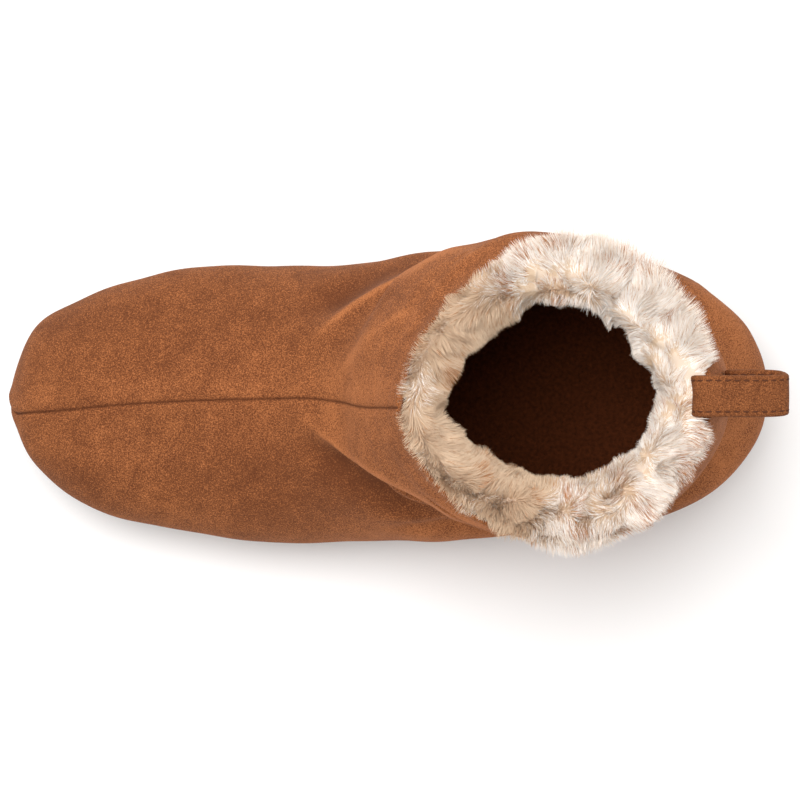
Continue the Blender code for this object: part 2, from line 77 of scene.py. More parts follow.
# instep to collar, in the same columns
shaftRows = (
    (0.653, -0.046, 0.443, 0.678, 0.510, 0.488, 0.000, -0.012, 0.52, 0.43, 2.8, 2.0),
    (0.756, -0.046, 0.457, 0.738, 0.519, 0.476, 0.010, -0.018, 0.56, 0.44, 2.6, 2.1),
    (0.847, -0.046, 0.468, 0.788, 0.526, 0.462, 0.020, -0.022, 0.62, 0.46, 2.4, 2.2),
    (0.920, -0.034, 0.477, 0.828, 0.526, 0.452, 0.025, -0.024, 0.65, 0.48, 2.20, 2.2),
    (0.968, 0.018, 0.483, 0.860, 0.525, 0.449, 0.029, -0.025, 0.66, 0.49, 2.10, 2.2),
    (0.992, 0.108, 0.488, 0.884, 0.524, 0.450, 0.030, -0.025, 0.66, 0.49, 2.06, 2.15),
    (1.000, 0.231, 0.492, 0.907, 0.523, 0.452, 0.029, -0.025, 0.65, 0.48, 2.05, 2.1),
    (0.993, 0.354, 0.496, 0.927, 0.523, 0.455, 0.026, -0.025, 0.63, 0.47, 2.01, 2.05),
    (0.962, 0.469, 0.500, 0.946, 0.523, 0.458, 0.022, -0.025, 0.61, 0.47, 1.94, 2.0),
    (0.936, 0.585, 0.504, 0.963, 0.523, 0.461, 0.019, -0.025, 0.60, 0.46, 1.88, 1.95),
    (0.926, 0.708, 0.507, 0.983, 0.523, 0.460, 0.016, -0.025, 0.58, 0.45, 1.85, 1.85),
    (0.913, 0.838, 0.511, 1.003, 0.522, 0.463, 0.014, -0.025, 0.57, 0.45, 1.80, 1.8),
    (0.892, 0.977, 0.514, 1.027, 0.521, 0.464, 0.012, -0.025, 0.57, 0.45, 1.78, 1.75),
)


def smoothStep(low, high, value):
    share = np.clip((value - low) / (high - low), 0.0, 1.0)
    return share * share * (3 - 2 * share)


def formTable():
    rows = []
    for table, height, width in ((footRows, form["instepHeight"], form["ballWidth"]),
                                 (shaftRows, form["collarHeight"], form["collarWidth"])):
        scale = np.array([form["length"], height] * 2 + [width] * 4 + [1] * 4)
        rows += [np.array(row) * scale for row in table]
    ahead = rows[1][[0, 3, 2, 1, 5, 4, 7, 6, 8, 9, 10, 11]]  # mirrored, so that the toe ends round
    ahead[[4, 5]] *= -1
    return np.array([ahead, *rows, 2 * rows[-1] - rows[-2]])


table = formTable()
lastStation = len(table) - 3.0  # the collar, where 0 is the toe
shaftX = form["heelBack"] - form["length"] * (1 - form["shaftMiddle"])


def sectionAt(station):
    i = np.clip(np.floor(station).astype(int), 0, int(lastStation) - 1)
    u = (station - i)[:, None]
    a, b, c, d = table[i], table[i + 1], table[i + 2], table[i + 3]
    return 0.5 * (2 * b + (c - a) * u + (2 * a - 5 * b + 4 * c - d) * u * u + (3 * b - 3 * c + d - a) * u**3)


def formPoint(station, angle):
    # angle 0 is the centre seam, pi the keel or back seam, + the inner side
    station, angle = np.broadcast_arrays(np.atleast_1d(np.asarray(station, float)), np.asarray(angle, float))
    angle = np.remainder(angle + math.pi, 2 * math.pi) - math.pi
    row = sectionAt(station.ravel()).T
    angle = angle.ravel()
    keelX, keelZ, ridgeX, ridgeZ, inner, outer, keelY, ridgeY, innerAt, outerAt, keelN, ridgeN = row
    up = np.abs(angle) < math.pi / 2
    wideAt = np.where(angle >= 0, innerAt, outerAt)
    power = 2 / np.where(up, ridgeN, keelN)
    across = np.abs(np.sin(angle)) ** power
    along = np.abs(np.cos(angle)) ** power
    rise = np.where(up, wideAt + (1 - wideAt) * along, wideAt * (1 - along))
    half = np.where(angle >= 0, inner, -outer)
    x = form["heelBack"] - form["length"] + keelX + (ridgeX - keelX) * rise
    y = half * across + np.where(up, ridgeY, keelY) * along
    z = keelZ + (ridgeZ - keelZ) * rise
    share = (x - form["heelBack"]) / form["length"] + 1
    foldZ = form["collarHeight"] * np.interp(share, (0.38, 1.0), form["pinchAt"])
    depth = form["pinch"] * np.exp(-(((z - foldZ) / form["pinchSpread"]) ** 2))
    depth = depth * (0.25 + 0.75 * smoothStep(0.40, 0.50, share))
    inX = shaftX - x
    size = np.maximum(np.hypot(inX, y), 1e-6)
    return np.stack([x + inX / size * depth, y - y / size * depth, z], axis=1)


def formNormal(station, angle):
    station, angle = np.broadcast_arrays(np.atleast_1d(np.asarray(station, float)), np.asarray(angle, float))
    step = 0.01
    low, high = np.maximum(station - step, 0.001), np.minimum(station + step, lastStation)
    along = formPoint(high, angle) - formPoint(low, angle)
    ahead = np.maximum(station, 0.02)
    roundIt = formPoint(ahead, angle + step) - formPoint(ahead, angle - step)
    normal = np.cross(along, roundIt)
    normal /= np.maximum(np.linalg.norm(normal, axis=1), 1e-12)[:, None]
    normal[station.ravel() <= 0] = (-1, 0, 0)
    return normal


def soleTop(x):
    start = form["heelBack"] - form["length"] * 0.70
    lift = np.maximum(0.0, (start - x) / (form["length"] * 0.30)) ** 2
    return form["soleThickness"] + form["toeSpring"] * lift


# small helpers


def srgb(red, green, blue):
    def linear(value):
        value /= 255
        return value / 12.92 if value <= 0.04045 else ((value + 0.055) / 1.055) ** 2.4
    return (linear(red), linear(green), linear(blue), 1.0)


def meshObject(name, points, faces, materials=(), slots=None, smooth=True):
    mesh = bpy.data.meshes.new(name)
    mesh.from_pydata([tuple(p) for p in points], [], [tuple(f) for f in faces])
    for material in materials:
        mesh.materials.append(material)
    if slots is not None:
        mesh.polygons.foreach_set("material_index", slots)
    if smooth:
        mesh.shade_smooth()
    made = bpy.data.objects.new(name, mesh)
    bpy.context.scene.collection.objects.link(made)
    return made


def faceOutwards(mesh):
    shape = bmesh.new()
    shape.from_mesh(mesh)
    bmesh.ops.recalc_face_normals(shape, faces=shape.faces)
    shape.to_mesh(mesh)
    shape.free()


def gridFaces(rows, columns):
    # faces of a tube of points: its rows lie along it, and its columns close round it
    r, c = np.meshgrid(np.arange(rows - 1), np.arange(columns), indexing="ij")
    r, c = r.ravel(), c.ravel()
    n = (c + 1) % columns
    return np.stack([r * columns + c, r * columns + n, (r + 1) * columns + n, (r + 1) * columns + c], axis=1)


def waves(points, scale, seed):
    # soft noise made of a few sine waves in random directions
    random = np.random.default_rng(seed)
    total = np.zeros(len(points))
    for k in range(7):
        way = random.normal(size=3)
        way /= np.linalg.norm(way)
        pace = random.uniform(0.7, 1.6)
        total += np.sin(points @ way * (2 * math.pi / scale) * pace + random.uniform(0, 6.3))
    return total / 3.2


def smoothPath(path, steps):
    # a smooth curve through all the points of the path
    out = []
    for i in range(len(path) - 1):
        a, b, c, d = (path[min(max(j, 0), len(path) - 1)] for j in (i - 1, i, i + 1, i + 2))
        for k in range(steps):
            u = k / steps
            out.append(0.5 * (2 * b + (c - a) * u + (2 * a - 5 * b + 4 * c - d) * u * u
                              + (3 * b - 3 * c + d - a) * u**3))
    out.append(path[-1])
    return np.array(out)


class Nodes:
    # short way to add and link shader nodes
    def __init__(self, material):
        material.use_nodes = True
        self.tree = material.node_tree
        self.shader = self.tree.nodes["Principled BSDF"]

    def add(self, kind, **values):
        node = self.tree.nodes.new(kind)
        for key, value in values.items():
            if key in node.inputs:
                node.inputs[key].default_value = value
            else:
                setattr(node, key, value)
        return node

    def link(self, start, end):
        self.tree.links.new(start, end)


# finishes

suedeLook = {
    "pale": (182, 113, 67),
    "middle": (142, 84, 47),
    "dark": (98, 53, 28),
    "seamLine": (70, 34, 16),
    "roughness": 0.92,
    "sheen": 0.05,
    "sheenTint": (225, 165, 120),
    "grain": 0.00014,  # depth of the nap's grain
    # how finely each noise varies, and its share in the tone
    "patches": (26.0, 0.15),
    "napAndPaintedShading": (130.0, 0.22),
    "speckle": (2300.0, 1.15),
    "toneShift": -0.285,  # paler if raised
    # the folds' ridges get a painted highlight and their valleys painted shade; this share also scales the
    # broad painted light and shade
    "highlightAndShade": 0.11,  # how much paler the folds' ridges are, and how much darker their valleys
}


def suedeMaterial(name, look, tone=1.0, coarse=1.0):
    material = bpy.data.materials.new(name)
    nodes = Nodes(material)
    place = nodes.add("ShaderNodeTexCoord").outputs["Object"]
    (patchScale, patchShare), (brushScale, brushShare), (fineScale, fineShare) = (
        look[k] for k in ("patches", "napAndPaintedShading", "speckle"))
    patches = nodes.add("ShaderNodeTexNoise", Scale=patchScale, Detail=3.0, Roughness=0.55, Distortion=0.4)
    # noise for the nap's mottling
    napAndPaintedShading = nodes.add("ShaderNodeTexNoise", Scale=brushScale / coarse, Detail=3.0, Roughness=0.6,
                        Distortion=0.5)
    grain = nodes.add("ShaderNodeTexNoise", Scale=fineScale / coarse, Detail=2.0, Roughness=0.75)
    for noise in (patches, napAndPaintedShading, grain):
        nodes.link(place, noise.inputs["Vector"])
    # painted highlight and shade of the folds, with the broad painted light and shade, read from the mesh
    highlightAndShade = nodes.add("ShaderNodeAttribute", attribute_name="paintedHighlightAndShade")
    level = None
    for source, share in ((grain, fineShare), (napAndPaintedShading, brushShare), (patches, patchShare),
                          (highlightAndShade, look["highlightAndShade"])):
        total = nodes.add("ShaderNodeMath", operation="MULTIPLY_ADD")
        total.inputs[1].default_value = share
        total.inputs[2].default_value = look["toneShift"]  # counts in the first sum only
        nodes.link(source.outputs["Fac"], total.inputs[0])
        if level is not None:
            nodes.link(level, total.inputs[2])
        level = total.outputs[0]
    ramp = nodes.add("ShaderNodeValToRGB")
    stops = ramp.color_ramp.elements
    stops[0].position, stops[1].position = 0.34, 0.66
    dark, middle, pale = (tuple(c * tone for c in srgb(*look[k])[:3]) + (1.0,)
                          for k in ("dark", "middle", "pale"))
    stops[0].color, stops[1].color = dark, pale
    stops.new(0.5).color = middle
    nodes.link(level, ramp.inputs["Fac"])
    seam = nodes.add("ShaderNodeAttribute", attribute_name="seamShade")
    mix = nodes.add("ShaderNodeMix", data_type="RGBA")
    mix.inputs["B"].default_value = srgb(*look["seamLine"])
    nodes.link(seam.outputs["Fac"], mix.inputs["Factor"])
    nodes.link(ramp.outputs["Color"], mix.inputs["A"])
    nodes.link(mix.outputs["Result"], nodes.shader.inputs["Base Color"])
    bump = nodes.add("ShaderNodeBump", Strength=0.55, Distance=look["grain"] * 3)
    nodes.link(grain.outputs["Fac"], bump.inputs["Height"])
    soft = nodes.add("ShaderNodeBump", Strength=0.5, Distance=0.0006)
    nodes.link(napAndPaintedShading.outputs["Fac"], soft.inputs["Height"])
    nodes.link(bump.outputs["Normal"], soft.inputs["Normal"])
    nodes.link(soft.outputs["Normal"], nodes.shader.inputs["Normal"])
    nodes.shader.inputs["Roughness"].default_value = look["roughness"]
    nodes.shader.inputs["Specular IOR Level"].default_value = 0.2
    nodes.shader.inputs["Sheen Weight"].default_value = look["sheen"]
    nodes.shader.inputs["Sheen Roughness"].default_value = 0.45
    nodes.shader.inputs["Sheen Tint"].default_value = srgb(*look["sheenTint"])
    return material


def plushMaterial(name, colour, scale, depth, roughness=0.95):
    material = bpy.data.materials.new(name)
    nodes = Nodes(material)
    place = nodes.add("ShaderNodeTexCoord").outputs["Object"]
    noise = nodes.add("ShaderNodeTexNoise", Scale=scale, Detail=4.0, Roughness=0.65)
    nodes.link(place, noise.inputs["Vector"])
    ramp = nodes.add("ShaderNodeValToRGB")
    base = srgb(*colour)
    ramp.color_ramp.elements[0].position, ramp.color_ramp.elements[1].position = 0.3, 0.7
    ramp.color_ramp.elements[0].color = tuple(c * 0.6 for c in base[:3]) + (1.0,)
    ramp.color_ramp.elements[1].color = tuple(min(c * 1.35, 1.0) for c in base[:3]) + (1.0,)
    nodes.link(noise.outputs["Fac"], ramp.inputs["Fac"])
    nodes.link(ramp.outputs["Color"], nodes.shader.inputs["Base Color"])
    bump = nodes.add("ShaderNodeBump", Strength=0.8, Distance=depth)
    nodes.link(noise.outputs["Fac"], bump.inputs["Height"])
    nodes.link(bump.outputs["Normal"], nodes.shader.inputs["Normal"])
    nodes.shader.inputs["Roughness"].default_value = roughness
    nodes.shader.inputs["Specular IOR Level"].default_value = 0.15
    return material


def plainMaterial(name, colour, roughness):
    material = bpy.data.materials.new(name)
    nodes = Nodes(material)
    nodes.shader.inputs["Base Color"].default_value = srgb(*colour)
    nodes.shader.inputs["Roughness"].default_value = roughness
    nodes.shader.inputs["Specular IOR Level"].default_value = 0.2
    return material


suede = suedeMaterial("suedePanels", suedeLook)
lining = plushMaterial("brownPlushLining", (98, 50, 25), 700.0, 0.0006)

# upper: two suede panels with a centre seam, creases at the shaft

upperLook = {
    "rowsToEachStation": 12,
    "innerRowsToEachStation": 4,
    "columnsEachSide": 112,
    "seamDepth": 0.0007,
    "seamWidth": 0.00038,
    "seamPuff": 0.00045,  # how far the panels swell beside the seam
    "toeStep": 0.0004,  # the inner panel stands proud of the other at the toe
    "unevenness": 0.0005,  # soft waves of the panels
    # places where the shaft leans in near its edge, in millimetres: plan point, reach, depth
    "leans": (((-56, 47), 20.0, 3.6), ((-78, 33), 14.0, 1.5)),
    "fullness": ((-52, 52), 24.0, 2.4),  # fullness of the shaft below them
    # broad painted light and painted shade on the suede: plan point and reach in millimetres, tone
    "napAndPaintedShading": (
        ((-74, -50), (44, 10), 1.0), ((-122, -28), (34, 15), -0.9), ((-105, 40), (30, 10), -0.45),
        ((-200, -18), (24, 22), -0.6), ((-178, 24), (46, 22), -0.65), ((-102, 0), (16, 22), 0.55),
        ((-150, 8), (30, 9), 0.25), ((-76, 8), (8, 16), 0.3),
        ((24, -22), (16, 24), 0.85), ((24, 26), (16, 22), 0.75),
    ),
}

# creases in millimetres, drawn on a view: from above (x, y), or from the outer or inner side (x, z). The ridge
# has a width before and beyond the fold, the valley lies beyond it, and ends is how far the fold dies away
creaseKeys = ("view", "beyond", "ridge", "before", "fall", "valley", "at", "width", "ends", "points")
upperLook["creases"] = [dict(zip(creaseKeys, row)) for row in (
    ("above", -1, 3.2, 6.0, 2.0, 5.0, 6.5, 5.0, 0.5,
     ((-124, -4), (-113, -12), (-104, -18), (-92, -25), (-77, -33), (-70, -37), (-62, -40), (-54, -42.5))),
    ("above", 1, 2.8, 6.5, 2.6, 4.0, 8.0, 5.5, 1.0,
     ((-121, 18), (-111, 26), (-103, 31), (-94, 36), (-80, 42.5), (-70, 46.5), (-60, 49.5))),
    ("above", 1, 1.1, 4.0, 3.5, 0.6, 7.0, 4.0, 1.0,
     ((-110, 3), (-106, 11), (-99, 20), (-88, 27), (-80, 31))),
    ("above", 1, -1.3, 6.0, 6.0, 0.0, 6.0, 5.0, 1.0,
     ((-123, 22), (-118, 12), (-116, 0), (-119, -10))),
    ("outer", -1, 1.3, 4.0, 2.6, 1.6, 6.0, 3.5, 1.0,
     ((-100, 62), (-86, 66), (-68, 65), (-48, 60), (-34, 56))),
    ("outer", -1, 1.1, 4.0, 2.6, 1.3, 6.0, 3.5, 1.0,
     ((-52, 78), (-34, 74), (-14, 69), (2, 70), (14, 73))),
    ("inner", -1, 1.3, 4.0, 2.6, 1.5, 6.0, 3.5, 1.0,
     ((-98, 66), (-82, 70), (-64, 68), (-44, 62), (-26, 60))),
    ("inner", -1, 1.0, 4.0, 2.6, 1.2, 6.0, 3.5, 1.0,
     ((-40, 79), (-20, 73), (0, 69), (14, 71))),
    ("inner", -1, 0.8, 3.5, 2.6, 1.0, 5.0, 3.0, 1.0,
     ((-12, 50), (4, 47), (20, 49))),
)]


def leanShare(height):
    return smoothStep(0.108, 0.127, height)


def creaseOffset(points, normals):
    # how far the folds move each point out, and the painted highlight on their ridges and painted shade in
    # their valleys
    total, highlightAndShade = np.zeros(len(points)), np.zeros(len(points))
    plan, height = points[:, :2] * 1000, points[:, 2]
    for place, reach, depth in upperLook["leans"]:
        near = np.exp(-(((plan - place) ** 2).sum(axis=1) / reach**2))
        total -= depth * 0.001 * near * leanShare(height)
    place, reach, depth = upperLook["fullness"]
    near = np.exp(-(((plan - place) ** 2).sum(axis=1) / reach**2))
    total += depth * 0.001 * near * smoothStep(0.070, 0.098, height) * (1 - leanShare(height))
    above = smoothStep(-0.10, 0.12, normals[:, 2]) * smoothStep(0.045, 0.06, points[:, 2])
    for fold in upperLook["creases"]:
        fromAbove = fold["view"] == "above"
        flat = points[:, (0, 1) if fromAbove else (0, 2)] * 1000
        if fromAbove:
            seen = above
        else:
            seen = smoothStep(0.012, 0.026, points[:, 1] * (1 if fold["view"] == "inner" else -1))
        path = np.array(fold["points"], float)
        lengths = np.concatenate([[0], np.cumsum(np.linalg.norm(np.diff(path, axis=0), axis=1))])
        best = np.full(len(points), 1e9)
        place, side = np.zeros(len(points)), np.zeros(len(points))
        for k in range(len(path) - 1):
            start, way = path[k], path[k + 1] - path[k]
            size = np.linalg.norm(way)
            share = np.clip((flat - start) @ way / size**2, 0, 1)
            off = flat - (start + share[:, None] * way)
            near = np.linalg.norm(off, axis=1)
            closer = near < best
            best = np.where(closer, near, best)
            place = np.where(closer, (lengths[k] + share * size) / lengths[-1], place)
            side = np.where(closer, np.sign(off[:, 1] * fold["beyond"]), side)
        beyond = best * side
        fade = smoothStep(0.0, 0.30, place) * (1 - fold["ends"] * smoothStep(0.78, 1.0, place))
        width = np.where(beyond > 0, fold["fall"], fold["before"])
        ridge = fold["ridge"] * np.exp(-((np.sqrt(beyond**2 + 0.8**2) - 0.8) / width))
        valley = fold["valley"] * np.exp(-(((beyond - fold["at"]) / fold["width"]) ** 2))
        total += (ridge - valley) * fade * seen * (1 - 0.75 * leanShare(height)) * 0.001
        if fromAbove and fold["ridge"] > 0:
            # a painted highlight along the ridge and painted shade in the valley beyond it
            pale = np.exp(-(((beyond + 0.4) / 1.2) ** 2)) * 1.7 + 0.35 * np.exp(-((beyond / 6.0) ** 2))
            dark = np.exp(-(((beyond - fold["at"]) / (fold["width"] * 1.2)) ** 2))
            highlightAndShade += (pale - dark) * fade * seen * min(fold["ridge"] / 2.4, 1.0)
    return total, highlightAndShade


# painted light where the tone is positive and painted shade where it is negative, fading out near the sole
def paintedBroadShading(points):
    tone = np.zeros(len(points))
    for place, reach, strength in upperLook["napAndPaintedShading"]:
        off = (points[:, :2] * 1000 - place) / reach
        tone += strength * np.exp(-(off**2).sum(axis=1))
    return tone * smoothStep(0.015, 0.03, points[:, 2])


def upperAngles():
    u = np.linspace(0, 1, upperLook["columnsEachSide"] + 1)
    side = math.pi * (0.30 * u + 0.70 * u**1.7)
    return np.concatenate([-side[:0:-1], side])[1:]


def upperSurface(stations, angles):
    # outer points, the shape's normals, what lifts them, and the shares of seam and of painted highlight and
    # shade
    s, a = np.meshgrid(stations, angles, indexing="ij")
    points, normals = formPoint(s.ravel(), a.ravel()), formNormal(s.ravel(), a.ravel())
    flat = a.ravel()
    ridge = formPoint(s.ravel(), 0.0)
    back = formPoint(s.ravel(), math.pi)
    front = np.abs(flat) < math.pi / 2
    away = np.linalg.norm(points - np.where(front[:, None], ridge, back), axis=1)
    width = upperLook["seamWidth"]
    groove = np.exp(-((away / width) ** 2))
    puff = np.exp(-(((away - 0.0028) / 0.0022) ** 2))
    offset, highlightAndShade = creaseOffset(points, normals)
    offset += upperLook["unevenness"] * (waves(points, 0.055, 3) + 0.5 * waves(points, 0.026, 5))
    step = np.exp(-((points[:, 0] - points[:, 0].min()) / 0.012)) * np.exp(-away / 0.010) * np.sign(flat)
    step *= np.where(front | (s.ravel() < 1.2), upperLook["toeStep"], 0.0)
    lift = upperLook["seamPuff"] * puff - upperLook["seamDepth"] * groove + step
    lift = np.where(s.ravel() <= 0, 0.0, lift)
    # the broad painted light and shade joins the folds' painted highlight and shade, and fades out on faces
    # that turn downwards
    highlightAndShade = (highlightAndShade + paintedBroadShading(points)) * smoothStep(-0.05, 0.28, normals[:, 2])
    return points, normals, offset, lift, groove, highlightAndShade


def buildUpper():
    angles = upperAngles()
    count = len(angles)
    outerStations, innerStations = (np.linspace(0, lastStation, int(lastStation * upperLook[k]) + 1)
                                    for k in ("rowsToEachStation", "innerRowsToEachStation"))
    innerStations = innerStations[::-1]
    points, normals, offset, lift, groove, highlightAndShade = upperSurface(outerStations, angles)
    outer = points + normals * (offset + lift)[:, None]
    up = formPoint(lastStation, angles) - formPoint(lastStation - 0.25, angles)
    up /= np.linalg.norm(up, axis=1)[:, None]
    ringPoints, ringNormals, ringOffset = (v[-count:] for v in (points, normals, offset))
    rim = []
    for turn in (0.25, 0.5, 0.75):
        depth = form["wall"] * (1 - math.cos(turn * math.pi)) / 2
        rise = form["wall"] * 0.42 * math.sin(turn * math.pi)
        rim.append(ringPoints + ringNormals * (ringOffset - depth)[:, None] + up * rise)
    inPoints, inNormals, inOffset = upperSurface(innerStations, angles)[:3]
    inner = inPoints + inNormals * (inOffset - form["wall"])[:, None]
    allPoints = np.concatenate([outer, *rim, inner])
    rows = len(outerStations) + 3 + len(innerStations)
    faces = gridFaces(rows, count)
    slots = np.repeat((np.arange(rows - 1) >= len(outerStations) + 1).astype(int), count)
    upper = meshObject("upperPanels", allPoints, faces, (suede, lining), slots)
    # the seam's dark line, and the painted highlight and shade, as attributes for the suede
    for name, values in (("seamShade", groove * 0.75), ("paintedHighlightAndShade", highlightAndShade)):
        attribute = upper.data.attributes.new(name, "FLOAT", "POINT")
        attribute.data.foreach_set("value", np.concatenate([values, np.zeros(len(allPoints) - len(values))]))

    # cut along the top of the sole, in a frame where that is level
    shape = bmesh.new()
    shape.from_mesh(upper.data)
    bmesh.ops.remove_doubles(shape, verts=shape.verts, dist=1e-6)
    for corner in shape.verts:
        corner.co.z -= float(soleTop(corner.co.x))
    bmesh.ops.bisect_plane(shape, geom=shape.verts[:] + shape.edges[:] + shape.faces[:], dist=1e-7,
                           plane_co=(0, 0, form["gap"]), plane_no=(0, 0, 1), clear_inner=True)
    openEdges = [e for e in shape.edges if e.is_boundary]
    bmesh.ops.bridge_loops(shape, edges=openEdges)
    for corner in shape.verts:
        corner.co.z += float(soleTop(corner.co.x))
    bmesh.ops.recalc_face_normals(shape, faces=shape.faces)
    shape.to_mesh(upper.data)
    shape.free()
    return upper


upperPanels = buildUpper()
print("upper:", len(upperPanels.data.polygons), "faces")

# fur collar: a soft base ring and hair made along its surface

furLook = {
    "thickness": 0.0140,
    "drop": 0.042,
    "rise": 0.0062,
    "thinnerInFront": 0.30,
    "rolls": ((2.15, 0.62, 0.0045), (-2.0, 0.5, 0.0018)),  # where it rolls over the edge: angle, reach, depth
    "lumps": 0.0010,  # soft tufts of the ring
    "columns": 160,
    # round the fur's thickness: depth and drop as shares of thickness and drop, or of the rise if above
    "profile": (
        (0.02, 0.10), (0.00, -0.06), (0.03, -0.30), (0.12, -0.50), (0.26, -0.60), (0.42, -0.62), (0.60, -0.52),
        (0.78, -0.26), (0.92, 0.05), (0.98, 0.16), (0.99, 0.30), (0.97, 0.46), (0.92, 0.62), (0.80, 0.78),
        (0.55, 0.93), (0.12, 0.96),
    ),
    "hairLength": 0.0068,
    "hairWidth": 0.00011,  # half of a hair's width at its root
    "spread": 0.42,
    "tufts": (95.0, 2.6),  # how finely the hairs' lean varies, and how much
    "fineTufts": (420.0, 1.1),
    "bends": (110.0, 0.0062),  # the same for the bend of their outer half
    "droop": 0.0006,
    "taper": 0.88,  # how much narrower a hair's tip is than its root
    "spill": ((0.004, 0.034), 0.026),  # longer locks over the edge: plan point, reach
    "hairsInEachPiece": 48000,
    "pieces": 4,
    "seed": 11,
}


furBody = plainMaterial("furCream", (240, 226, 212), 0.9)
furPale = plainMaterial("furPale", (250, 245, 240), 0.9)
furTip = plainMaterial("furTanTip", (188, 132, 88), 0.9)
# painted shade: a darker beige for the hairs near their roots
furPaintedShade = plainMaterial("furShade", (222, 196, 168), 0.9)
furSkin = plainMaterial("furSkin", (232, 212, 192), 0.95)


def columnDown(angle):
    # the way down the shaft at one angle: its length from the edge, and the stations that it passes
    stations = np.linspace(lastStation, lastStation * 0.42, 90)
    line = formPoint(stations, angle)
    down = np.concatenate([[0.0], np.cumsum(np.linalg.norm(np.diff(line, axis=0), axis=1))])
    return down, stations


def shaftPoint(angle, column, drop, depth):
    station = np.interp(drop, *column)
    point = formPoint(station, angle)[0] - formNormal(station, angle)[0] * depth
    if drop < 0:
        up = (formPoint(lastStation, angle) - formPoint(lastStation - 0.25, angle))[0]
        point = point - (0.4 * up / np.linalg.norm(up) + np.array([0, 0, 0.6])) * drop
    return point


def buildFurBase():
    columns, profile = furLook["columns"], furLook["profile"]
    profile = smoothPath(np.array(profile + profile[:1]), 3)[:-1]
    rings = []
    for k in range(columns):
        angle = 2 * math.pi * k / columns - math.pi
        column = columnDown(angle)
        front = math.exp(-((angle / 0.7) ** 2)) * furLook["thinnerInFront"]
        roll = sum(depth * math.exp(-(((angle - at) / reach) ** 2)) for at, reach, depth in furLook["rolls"])
        ring = []
        for depth, drop in profile:
            drop = drop * (furLook["rise"] if drop < 0 else furLook["drop"])
            inside = depth * furLook["thickness"] * (1 - front)
            inside -= roll * smoothStep(0.0, 0.0022, -drop) * smoothStep(0.6, 0.0, depth)
            ring.append(shaftPoint(angle, column, drop, inside + form["wall"] * 0.95))
        rings.append(ring)
    points = np.array(rings).reshape(-1, 3)
    count = len(profile)
    faces = gridFaces(columns + 1, count)
    faces = np.where(faces >= columns * count, faces - columns * count, faces)
    base = meshObject("furBase", points, faces, (furSkin,))
    faceOutwards(base.data)
    normals = np.empty(len(points) * 3)
    base.data.vertices.foreach_get("normal", normals)
    free = np.tile(smoothStep(0.1, 0.3, profile[:, 0]) * (1 - smoothStep(0.7, 0.9, profile[:, 1])), columns)
    bare = np.maximum(smoothStep(0.06, 0.16, profile[:, 0]), smoothStep(-0.02, 0.12, -profile[:, 1]))
    bare *= 1 - smoothStep(0.74, 0.88, profile[:, 1])
    lumps = waves(points, 0.016, 21) + 0.7 * waves(points, 0.009, 22)
    lumps *= 1 - 0.45 * smoothStep(0.02, 0.04, points[:, 1])  # flatter on the inner side
    points = points + normals.reshape(-1, 3) * (furLook["lumps"] * lumps * free)[:, None]
    for place, reach, depth in upperLook["leans"]:
        away = (points[:, :2] * 1000 - place) / reach
        near = np.exp(-((away**2).sum(axis=1))) * leanShare(points[:, 2])
        inward = np.array([shaftX, 0.0]) - points[:, :2]
        inward /= np.linalg.norm(inward, axis=1)[:, None]
        points[:, :2] += inward * (near * depth * 0.0011)[:, None]
    base.data.vertices.foreach_set("co", points.ravel())
    base.data.update()
    return base, np.tile(bare, columns)


def inputSocket(tree, name, kind, value):
    tree.interface.new_socket(name=name, in_out="INPUT", socket_type=kind).default_value = value


